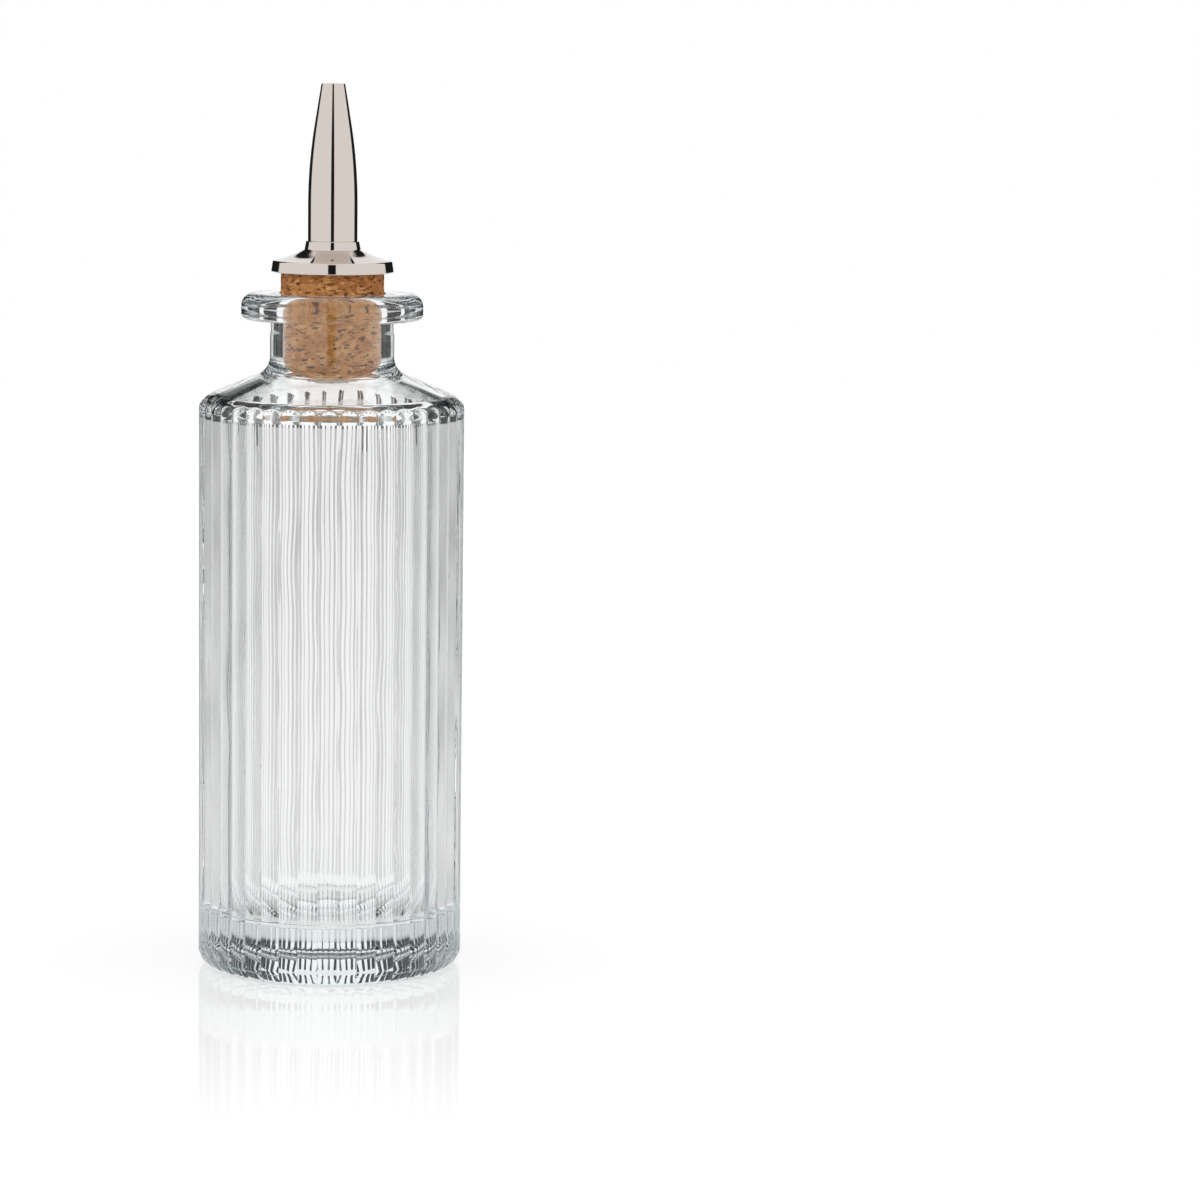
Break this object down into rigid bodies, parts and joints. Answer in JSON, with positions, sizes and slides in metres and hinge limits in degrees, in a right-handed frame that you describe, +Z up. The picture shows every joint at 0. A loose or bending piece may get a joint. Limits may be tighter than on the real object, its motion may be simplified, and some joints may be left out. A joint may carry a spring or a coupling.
{
  "type": "bitters bottle",
  "caption": "Ribbed clear glass bitters bottle with a wide flat lip, a bored cork stopper and a tapered metal dasher spout on a sloping collar.",
  "frame": {"origin": "centre of the base, on the surface the bottle stands on", "axes": "+Z up along the bottle's axis, from the base to the spout's tip; a rib crest faces -Y, the front"},
  "size_m": [0.0558, 0.056, 0.1871],
  "materials": {
    "clear_glass": "clear pressed flint glass, fire polished, with a faint cool tint in the thick base",
    "agglomerated_cork": "ground cork pressed with binder, cut and sanded, matt",
    "polished_steel": "mirror polished stainless steel, slightly warm",
    "plain_steel": "drawn stainless tube and a blanked ring, unpolished",
    "white_plastic": "moulded natural white polyethylene"
  },
  "bodies": {
    "bottle": {"glass_bottle": "clear_glass"},
    "stopper": {"cork_stopper": "agglomerated_cork"},
    "dasher": {"collar": "polished_steel", "spout": "polished_steel", "dash_insert": "white_plastic", "stem_tube": "plain_steel", "stem_eyelet": "plain_steel"}
  },
  "joints": [
    {"name": "stopper_pull", "type": "slide", "parent": "bottle", "child": "stopper", "axis": [0, 0, 1], "range_m": [0, 0.045]},
    {"name": "dasher_turn", "type": "hinge", "parent": "stopper", "child": "dasher", "pos_m": [0, 0, 0.15], "axis": [0, 0, 1], "continuous": true}
  ]
}
